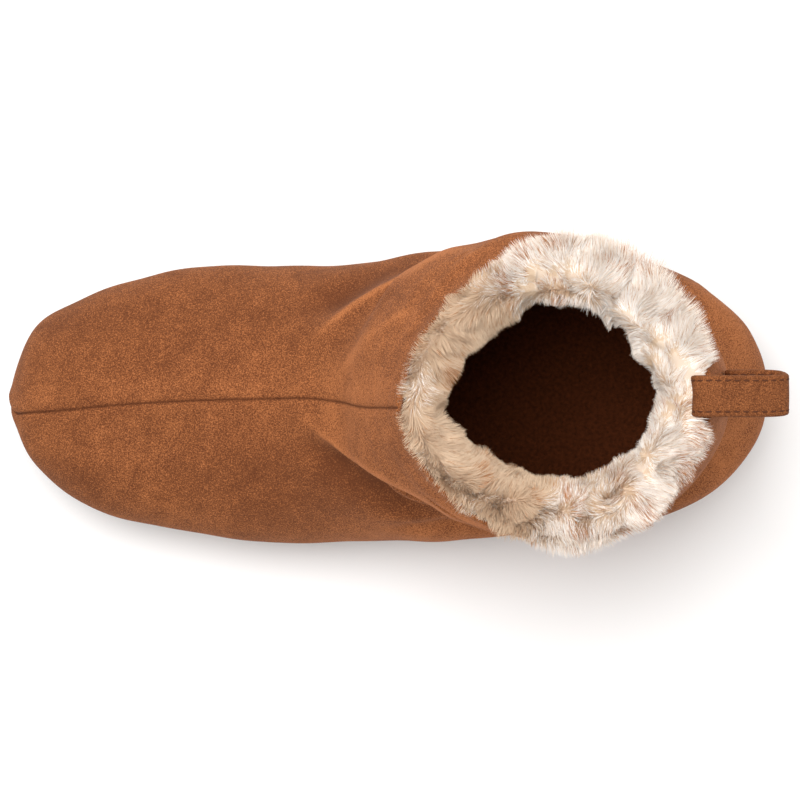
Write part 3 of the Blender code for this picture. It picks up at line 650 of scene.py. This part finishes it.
def hairTree():
    tree = bpy.data.node_groups.new("hairOnSurface", "GeometryNodeTree")
    tree.interface.new_socket(name="Geometry", in_out="INPUT", socket_type="NodeSocketGeometry")
    inputSocket(tree, "Hairs per square metre", "NodeSocketFloat", 1e6)
    inputSocket(tree, "Hair length", "NodeSocketFloat", furLook["hairLength"])
    inputSocket(tree, "Hair width", "NodeSocketFloat", furLook["hairWidth"])
    inputSocket(tree, "Spread", "NodeSocketFloat", furLook["spread"])
    inputSocket(tree, "Seed", "NodeSocketInt", 1)
    tree.interface.new_socket(name="Geometry", in_out="OUTPUT", socket_type="NodeSocketGeometry")
    add, link = tree.nodes.new, tree.links.new
    given, result = add("NodeGroupInput"), add("NodeGroupOutput")

    def maths(operation, first, second=None, third=None):
        node = add("ShaderNodeMath")
        node.operation = operation
        for k, value in enumerate((first, second, third)):
            if value is None:
                continue
            if isinstance(value, (int, float)):
                node.inputs[k].default_value = value
            else:
                link(value, node.inputs[k])
        return node.outputs[0]

    def vectors(operation, first, second=None, scale=None):
        node = add("ShaderNodeVectorMath")
        node.operation = operation
        for k, value in enumerate((first, second)):
            if value is None:
                continue
            if isinstance(value, tuple):
                node.inputs[k].default_value = value
            else:
                link(value, node.inputs[k])
        if scale is not None:
            if isinstance(scale, (int, float)):
                node.inputs["Scale"].default_value = scale
            else:
                link(scale, node.inputs["Scale"])
        return node.outputs[0]

    def softNoise(scale, depth, offset):
        place = vectors("ADD", add("GeometryNodeInputPosition").outputs[0], offset)
        node = add("ShaderNodeTexNoise")
        node.inputs["Scale"].default_value = scale
        node.inputs["Detail"].default_value = 1.0
        link(place, node.inputs["Vector"])
        return vectors("SCALE", vectors("SUBTRACT", node.outputs["Color"], (0.5, 0.5, 0.5)), scale=depth)

    def randomValue(low, high, salt):
        node = add("FunctionNodeRandomValue")
        node.data_type = "FLOAT"
        node.inputs[2].default_value, node.inputs[3].default_value = low, high
        seed = maths("ADD", given.outputs["Seed"], salt)
        link(seed, node.inputs["Seed"])
        return node.outputs[1]

    def named(name, kind="FLOAT"):
        node = add("GeometryNodeInputNamedAttribute")
        node.data_type = kind
        node.inputs["Name"].default_value = name
        return node.outputs[0]

    def store(geometry, name, value, domain, kind="FLOAT"):
        node = add("GeometryNodeStoreNamedAttribute")
        node.data_type, node.domain = kind, domain
        node.inputs["Name"].default_value = name
        link(geometry, node.inputs["Geometry"])
        link(value, node.inputs["Value"])
        return node.outputs[0]

    points = add("GeometryNodeDistributePointsOnFaces")
    link(given.outputs["Geometry"], points.inputs["Mesh"])
    link(maths("MULTIPLY", given.outputs["Hairs per square metre"], named("cover")), points.inputs["Density"])
    link(given.outputs["Seed"], points.inputs["Seed"])
    # each hair leans by broad and fine noise, so that neighbours fall into tufts
    lean = softNoise(*furLook["tufts"], (0.0, 0.0, 0.0))
    lean = vectors("ADD", lean, softNoise(*furLook["fineTufts"], (0.3, 0.1, 0.2)))
    lean = vectors("SCALE", lean, scale=given.outputs["Spread"])
    standing = vectors("SCALE", points.outputs["Normal"], scale=0.75)
    way = vectors("ADD", vectors("ADD", standing, lean), named("comb", "FLOAT_VECTOR"))
    turn = add("FunctionNodeAlignRotationToVector")
    turn.axis = "Z"
    link(vectors("NORMALIZE", way), turn.inputs["Vector"])
    spin = add("FunctionNodeRotateRotation")
    spin.rotation_space = "LOCAL"
    link(turn.outputs[0], spin.inputs[0])
    about = add("ShaderNodeCombineXYZ")
    link(randomValue(0.0, 6.283, 3), about.inputs[2])
    euler = add("FunctionNodeEulerToRotation")
    link(about.outputs[0], euler.inputs[0])
    link(euler.outputs[0], spin.inputs[1])
    line = add("GeometryNodeCurvePrimitiveLine")
    line.inputs["End"].default_value = (0, 0, 1)
    resample = add("GeometryNodeResampleCurve")
    resample.inputs["Count"].default_value = 3
    link(line.outputs[0], resample.inputs[0])
    size = maths("MULTIPLY", randomValue(0.6, 1.15, 5), given.outputs["Hair length"])
    size = maths("MULTIPLY", size, named("reach"))
    place = add("GeometryNodeInstanceOnPoints")
    link(points.outputs["Points"], place.inputs["Points"])
    link(resample.outputs[0], place.inputs["Instance"])
    link(spin.outputs[0], place.inputs["Rotation"])
    link(size, place.inputs["Scale"])
    hairs = store(place.outputs[0], "tone", randomValue(0.0, 1.0, 9), "INSTANCE")
    shake = add("FunctionNodeRandomValue")
    shake.data_type = "FLOAT_VECTOR"
    shake.inputs[0].default_value, shake.inputs[1].default_value = (-0.3, -0.3, -0.3), (0.3, 0.3, 0.3)
    soft = vectors("ADD", named("baseNormal", "FLOAT_VECTOR"), shake.outputs[0])
    real = add("GeometryNodeRealizeInstances")
    link(store(hairs, "soft", soft, "INSTANCE", "FLOAT_VECTOR"), real.inputs[0])
    # the outer half of each hair bends with the tuft it is in
    factor = add("GeometryNodeSplineParameter").outputs["Factor"]
    bend = vectors("ADD", softNoise(*furLook["bends"], (0.7, 0.2, 0.5)), (0.0, 0.0, -furLook["droop"]))
    bend = vectors("SCALE", bend, scale=maths("POWER", factor, 1.6))
    move = add("GeometryNodeSetPosition")
    link(real.outputs[0], move.inputs["Geometry"])
    link(bend, move.inputs["Offset"])
    thin = maths("MULTIPLY_ADD", maths("POWER", factor, 1.4), -furLook["taper"], 1.0)
    # the flat side of each hair faces out from the ring
    tangent = add("GeometryNodeInputTangent").outputs[0]
    facing = vectors("CROSS_PRODUCT", tangent, named("soft", "FLOAT_VECTOR"))
    facing = vectors("CROSS_PRODUCT", facing, tangent)
    normal = add("GeometryNodeSetCurveNormal")
    normal.mode = "FREE"
    link(move.outputs[0], normal.inputs["Curve"])
    link(vectors("NORMALIZE", facing), normal.inputs["Normal"])
    radius = add("GeometryNodeSetCurveRadius")
    link(normal.outputs[0], radius.inputs["Curve"])
    width = maths("MULTIPLY", thin, given.outputs["Hair width"])
    link(width, radius.inputs["Radius"])
    flat = add("GeometryNodeCurvePrimitiveLine")
    flat.inputs["Start"].default_value, flat.inputs["End"].default_value = (0, -1, 0), (0, 1, 0)
    ribbon = add("GeometryNodeCurveToMesh")
    link(store(radius.outputs[0], "along", factor, "POINT"), ribbon.inputs["Curve"])
    link(flat.outputs[0], ribbon.inputs["Profile Curve"])
    link(width, ribbon.inputs["Scale"])
    whole = add("GeometryNodeRealizeInstances")
    link(ribbon.outputs[0], whole.inputs[0])
    done = whole.outputs[0]
    along, tone, tan = named("along"), named("tone"), named("tan")
    # the shaded coat paints shade on each hair from its root up to a share that the shade attribute sets
    coats = (
        (furBody, None),
        (furPale, maths("GREATER_THAN", tone, 0.60)),
        (furPaintedShade, maths("LESS_THAN", along, maths("MULTIPLY_ADD", tone, -0.4, named("shade")))),
        (furTip, maths("MULTIPLY", maths("LESS_THAN", tone, tan), maths("GREATER_THAN", along, 0.5))),
    )
    for material, chosen in coats:
        paint = add("GeometryNodeSetMaterial")
        paint.inputs["Material"].default_value = material
        if chosen is not None:
            link(chosen, paint.inputs["Selection"])
        link(done, paint.inputs["Geometry"])
        done = paint.outputs[0]
    link(done, result.inputs[0])
    return tree


def setInputs(modifier, values):
    for item in modifier.node_group.interface.items_tree:
        if item.item_type == "SOCKET" and item.in_out == "INPUT" and item.name in values:
            modifier[item.identifier] = values[item.name]


combNames = ("comb", "reach", "cover", "tan", "shade", "baseNormal")  # what the comb tells the hair


def bakeNodes(carrier, tree, values, name):
    # the modifier's result as a plain mesh of its own
    modifier = carrier.modifiers.new("nodes", "NODES")
    modifier.node_group = tree
    setInputs(modifier, values)
    graph = bpy.context.evaluated_depsgraph_get()
    mesh = bpy.data.meshes.new_from_object(carrier.evaluated_get(graph))
    carrier.modifiers.clear()
    for used in [a.name for a in mesh.attributes if a.name in combNames + ("along", "tone", "soft")]:
        mesh.attributes.remove(mesh.attributes[used])
    made = bpy.data.objects.new(name, mesh)
    mesh.name = name
    bpy.context.scene.collection.objects.link(made)
    return made


furBase, furBare = buildFurBase()


def combFur(base, bare):
    # hair on top stands up and out, hair inside hangs inwards, and it lies short under the pull loop
    mesh = base.data
    points = np.empty(len(mesh.vertices) * 3)
    mesh.vertices.foreach_get("co", points)
    points = points.reshape(-1, 3)
    normals = np.empty(len(mesh.vertices) * 3)
    mesh.vertices.foreach_get("normal", normals)
    normals = normals.reshape(-1, 3)
    middle = formPoint(lastStation, np.array([0.0, math.pi])).mean(axis=0)[:2]
    outward = points[:, :2] - middle
    outward /= np.linalg.norm(outward, axis=1)[:, None]
    facing = (normals[:, :2] * outward).sum(axis=1)
    frontness = smoothStep(0.1, 0.9, -outward[:, 0])
    outer = smoothStep(0.1, 0.6, facing)
    inner = smoothStep(0.1, 0.7, -facing)
    comb = np.zeros_like(points)
    comb[:, 2] = 0.55 * outer - 0.35 * inner
    back = smoothStep(-0.5, 0.5, outward[:, 0] + 0.5 * outward[:, 1])
    lying = 1.5 * back - 0.4 * frontness  # brushed back over the heel's edge
    part = np.clip(facing * 1.3 + 0.15 + lying + 0.30 * waves(points, 0.019, 41), -1, 1)
    comb[:, :2] += outward * (0.85 * part - 0.2 * outer * frontness)[:, None]
    # locks that lean along the ring hide its parting
    around = np.stack([-outward[:, 1], outward[:, 0]], axis=1)
    comb[:, :2] += around * (0.55 * waves(points, 0.024, 61) + 0.25)[:, None]
    backEdge = formPoint(lastStation, math.pi)[0]
    level = points[:, 2] - backEdge[2]
    reach = 1.0 - 0.30 * outer * (1 + frontness * 0.6) - 0.38 * inner
    reach *= 1 - 0.55 * smoothStep(0.012, 0.034, -level)
    strap = smoothStep(0.0092, 0.0072, np.abs(points[:, 1] - backEdge[1]))
    strap *= smoothStep(0.002, 0.006, points[:, 0])
    reach *= 1 - 0.85 * strap
    place, far = furLook["spill"]
    spill = np.exp(-(((points[:, :2] - place) / far) ** 2).sum(axis=1)) * outer
    reach *= 1 + 0.5 * spill
    comb[:, :2] += outward * (0.5 * spill)[:, None]
    comb[:, 2] -= 0.5 * spill
    cover = bare * np.where(normals[:, 2] < -0.6, 0.1, 1.0)
    cover *= 1 - 0.5 * smoothStep(0.012, 0.034, -level)
    tan = 0.04 + 0.40 * np.clip(waves(points, 0.019, 31) + 0.7 * waves(points, 0.008, 33) - 0.25, 0, 1.3)
    # painted shade: the shaded coat reaches further up the hairs towards the toe, on the outer side and on the
    # inner wall
    paintedShadeSide = smoothStep(-0.3, 0.8, -outward[:, 0]) + 0.5 * smoothStep(0.2, 0.9, -outward[:, 1])
    shade = 0.26 + 0.88 * np.clip(paintedShadeSide, 0, 1) + 0.25 * inner + 0.18 * waves(points, 0.030, 51)
    for name, values in zip(combNames, (comb, reach, cover, tan, shade, normals)):
        kind, slot = ("FLOAT_VECTOR", "vector") if values.ndim == 2 else ("FLOAT", "value")
        mesh.attributes.new(name, kind, "POINT").data.foreach_set(slot, values.ravel())
    return sum(face.area * cover[list(face.vertices)].mean() for face in mesh.polygons)


furArea = combFur(furBase, furBare)
furHairs = []
tree = hairTree()
pieces = furLook["pieces"]
for k in range(pieces):
    values = {"Seed": furLook["seed"] + 17 * k, "Hairs per square metre": furLook["hairsInEachPiece"] / furArea}
    furHairs.append(bakeNodes(furBase, tree, values, "furHair" + "ABCDEF"[k]))
    print("fur piece", k + 1, "of", pieces, len(furHairs[-1].data.polygons), "faces")
for name in combNames:
    furBase.data.attributes.remove(furBase.data.attributes[name])

# pull loop: doubled suede strap with two rows of stitches

loopLook = {
    "width": 0.0132,
    "thickness": 0.0022,
    "reach": 0.0236,  # how far it stands out behind the collar's edge
    "rise": 0.0060,
    "drop": 0.0120,
    "sewn": 0.0090,  # length sewn inside the collar
    "inset": 0.0056,  # how far it reaches over the fur
    "skew": 0.0020,  # its lower end is sewn on this far to one side
    "hug": 1.7,  # how closely its inner end follows the round collar
    "stitchInset": 0.0017,
    "stitchLength": 0.0021,
    "stitchPitch": 0.0029,
    "stitchRadius": 0.00032,
    "stitched": (14, -2),  # first and last step of the strap with stitches
}
strapSuede = suedeMaterial("suedeStrap", suedeLook, tone=0.76, coarse=0.9)
thread = plainMaterial("brownThread", (84, 46, 26), 0.7)


def loopPath():
    column = columnDown(math.pi)
    wall, gap, half = form["wall"], form["gap"], loopLook["thickness"] / 2
    reach, drop, inset, rise = (loopLook[k] for k in ("reach", "drop", "inset", "rise"))

    def at(down, depth):
        return shaftPoint(math.pi, column, down, depth)[[0, 2]]

    rim = at(0.0, 0.0)
    return np.array([
        at(loopLook["sewn"], wall + gap + half),
        at(loopLook["sewn"] * 0.5, wall + gap + half * 1.3),
        rim + (-inset, -rise * 0.12),
        rim + (-inset, rise * 0.53),
        rim + (-inset * 0.55, rise * 0.96),
        rim + (reach * 0.02, rise),
        rim + (reach * 0.40, rise * 0.87),
        rim + (reach * 0.70, rise * 0.67),
        rim + (reach * 0.93, rise * 0.23),
        rim + (reach - half, -rise * 0.43),
        rim + (reach * 0.90, rise * 0.50 - drop * 0.8),
        rim + (reach * 0.66, rise * 0.47 - drop),
        rim + (reach * 0.42, rise * 0.08 - drop),
        at(drop * 1.42, -gap - half * 1.5),
        at(drop * 1.80, -gap * 1.5 - half),
        at(drop * 2.30, -gap * 1.5 - half),
    ])


def loopCurve(side, lift):
    # a line along the strap: side is -0.5 to 0.5 across it, lift its height over the middle of the strap
    curve = smoothPath(loopPath(), 8)
    count = len(curve)
    share = np.arange(count) / (count - 1)
    middle = formPoint(lastStation, math.pi)[0][1]
    shift = loopLook["skew"] * smoothStep(0.45, 0.75, share)
    hug = loopLook["hug"] * (1 - smoothStep(0.14, 0.30, share)) + 0.95 * smoothStep(0.72, 0.86, share)
    across = side * loopLook["width"]
    along = np.gradient(curve, axis=0)
    along /= np.linalg.norm(along, axis=1)[:, None]
    out = np.stack([-along[:, 1], along[:, 0]], axis=1) * lift
    x = curve[:, 0] - hug * (across + shift) ** 2 / form["collarWidth"] + out[:, 0]
    return np.stack([x, middle + shift + across, curve[:, 1] + out[:, 1]], axis=1)


def buildLoop():
    # round the strap's section, with soft edges and a slight hollow at the stitches
    half, edge = loopLook["thickness"] / 2, 0.06
    top = [(0.0, 1.08), (0.2, 1.06), (0.345, 1.0), (0.372, 0.84), (0.40, 1.0), (0.5 - edge, 1.0),
           (0.5 - edge * 0.35, 0.72)]
    top = [(-side, lift) for side, lift in reversed(top[1:])] + top
    outline = top + [(0.5, 0.0)] + [(side, -lift) for side, lift in reversed(top)] + [(-0.5, 0.0)]
    rings = np.stack([loopCurve(side, lift * half) for side, lift in outline], axis=1)
    count = len(outline)
    points = rings.reshape(-1, 3)
    faces = [tuple(f) for f in gridFaces(len(rings), count)]
    faces += [tuple(range(count))[::-1], tuple(range(len(points) - count, len(points)))]
    loop = meshObject("pullLoop", points, faces, (strapSuede,))
    faceOutwards(loop.data)
    return loop


def stitchTree():
    tree = bpy.data.node_groups.new("stitchesOnLine", "GeometryNodeTree")
    tree.interface.new_socket(name="Geometry", in_out="INPUT", socket_type="NodeSocketGeometry")
    inputSocket(tree, "Pitch", "NodeSocketFloat", loopLook["stitchPitch"])
    inputSocket(tree, "Stitch length", "NodeSocketFloat", loopLook["stitchLength"])
    inputSocket(tree, "Thread radius", "NodeSocketFloat", loopLook["stitchRadius"])
    tree.interface.new_socket(name="Geometry", in_out="OUTPUT", socket_type="NodeSocketGeometry")
    add, link = tree.nodes.new, tree.links.new
    given, result = add("NodeGroupInput"), add("NodeGroupOutput")
    curve = add("GeometryNodeMeshToCurve")
    link(given.outputs["Geometry"], curve.inputs[0])
    points = add("GeometryNodeCurveToPoints")
    points.mode = "LENGTH"
    link(curve.outputs[0], points.inputs["Curve"])
    link(given.outputs["Pitch"], points.inputs["Length"])
    ball = add("GeometryNodeMeshIcoSphere")
    ball.inputs["Radius"].default_value = 1.0
    ball.inputs["Subdivisions"].default_value = 2
    stitch = add("GeometryNodeInstanceOnPoints")
    link(points.outputs["Points"], stitch.inputs["Points"])
    link(ball.outputs[0], stitch.inputs["Instance"])
    link(points.outputs["Rotation"], stitch.inputs["Rotation"])
    size = add("ShaderNodeCombineXYZ")
    half = add("ShaderNodeMath")
    half.operation = "MULTIPLY"
    half.inputs[1].default_value = 0.5
    link(given.outputs["Stitch length"], half.inputs[0])
    link(given.outputs["Thread radius"], size.inputs[0])
    link(given.outputs["Thread radius"], size.inputs[1])
    link(half.outputs[0], size.inputs[2])
    link(size.outputs[0], stitch.inputs["Scale"])
    real = add("GeometryNodeRealizeInstances")
    link(stitch.outputs[0], real.inputs[0])
    paint = add("GeometryNodeSetMaterial")
    paint.inputs["Material"].default_value = thread
    link(real.outputs[0], paint.inputs["Geometry"])
    link(paint.outputs[0], result.inputs[0])
    return tree


def lineObject(name, lines):
    points, edges = [], []
    for line in lines:
        start = len(points)
        points += [tuple(p) for p in line]
        edges += [(k, k + 1) for k in range(start, len(points) - 1)]
    mesh = bpy.data.meshes.new(name)
    mesh.from_pydata(points, edges, [])
    made = bpy.data.objects.new(name, mesh)
    bpy.context.scene.collection.objects.link(made)
    return made


pullLoop = buildLoop()
stitchAt = 0.5 - loopLook["stitchInset"] / loopLook["width"]
level = loopLook["thickness"] / 2 * 0.90
stitched = slice(*loopLook["stitched"])
rows = [loopCurve(side, lift)[stitched] for side in (-stitchAt, stitchAt) for lift in (level, -level)]
carrier = lineObject("stitchLines", rows)
loopStitches = bakeNodes(carrier, stitchTree(), {}, "loopStitches")
loopStitches.data.shade_smooth()
bpy.data.objects.remove(carrier, do_unlink=True)
print("loop and stitches")

# footbed and outsole keep their CAD shape

footbedTop = plushMaterial("brownPlushFootbed", (88, 42, 18), 800.0, 0.0008)
rubber = plushMaterial("brownRubber", (66, 44, 32), 900.0, 0.00008, 0.62)
for name, material in (("insole", footbedTop), ("outsole", rubber)):
    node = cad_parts[name]
    node.data.materials.clear()
    node.data.materials.append(material)

# parts of the frame

for piece, node, finish in ((upperPanels, "upper", "suede"), (furBase, "fur_cuff", "fur"),
                            (pullLoop, "pull_loop", "loop")):
    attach(piece, "root")
    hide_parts(node)
for hair in furHairs:
    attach(hair, "root")
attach(loopStitches, "root")

# floor, lights and camera

studio = {
    "cameraHeight": 1.05,
    "cameraX": -0.088,
    "focalPixels": 2917.0,
    "photoPixels": 800,
    "sensor": 36.0,
    "floor": (254, 254, 254),
    "floorSize": 8.0,
    "lookAt": (-0.05, 0.0, 0.05),
    "lights": (("keyLight", (-0.42, 0.26, 1.36), 0.9, 14.0), ("fillLight", (0.25, 0.60, 1.20), 1.0, 4.5)),
    "sky": 0.64,
    "skyColour": (1.0, 0.985, 0.965, 1.0),
}


def areaLight(name, place, target, size, power):
    data = bpy.data.lights.new(name, "AREA")
    data.shape, data.size, data.energy = "DISK", size, power
    light = bpy.data.objects.new(name, data)
    light.location = place
    way = np.array(target) - np.array(place)
    light.rotation_euler = Vector(way).to_track_quat("-Z", "Y").to_euler()
    bpy.context.scene.collection.objects.link(light)


half, below = studio["floorSize"] / 2, -0.0002
floorPoints = [(-half, -half, below), (half, -half, below), (half, half, below), (-half, half, below)]
floorPaint = plainMaterial("paleFloor", studio["floor"], 0.9)
floor = meshObject("studioFloor", floorPoints, [(0, 1, 2, 3)], (floorPaint,), smooth=False)
for name, place, size, power in studio["lights"]:
    areaLight(name, place, studio["lookAt"], size, power)

world = bpy.data.worlds.new("softSky")
world.use_nodes = True
background = world.node_tree.nodes["Background"]
background.inputs["Color"].default_value = studio["skyColour"]
background.inputs["Strength"].default_value = studio["sky"]
bpy.context.scene.world = world
bpy.context.scene.view_settings.view_transform = "Standard"

cameraData = bpy.data.cameras.new("camera")
cameraData.sensor_width = studio["sensor"]
cameraData.lens = studio["focalPixels"] / studio["photoPixels"] * studio["sensor"]
camera = bpy.data.objects.new("camera", cameraData)
camera.location = (studio["cameraX"], 0.0, studio["cameraHeight"])
bpy.context.scene.collection.objects.link(camera)
bpy.context.scene.camera = camera
print("studio ready")
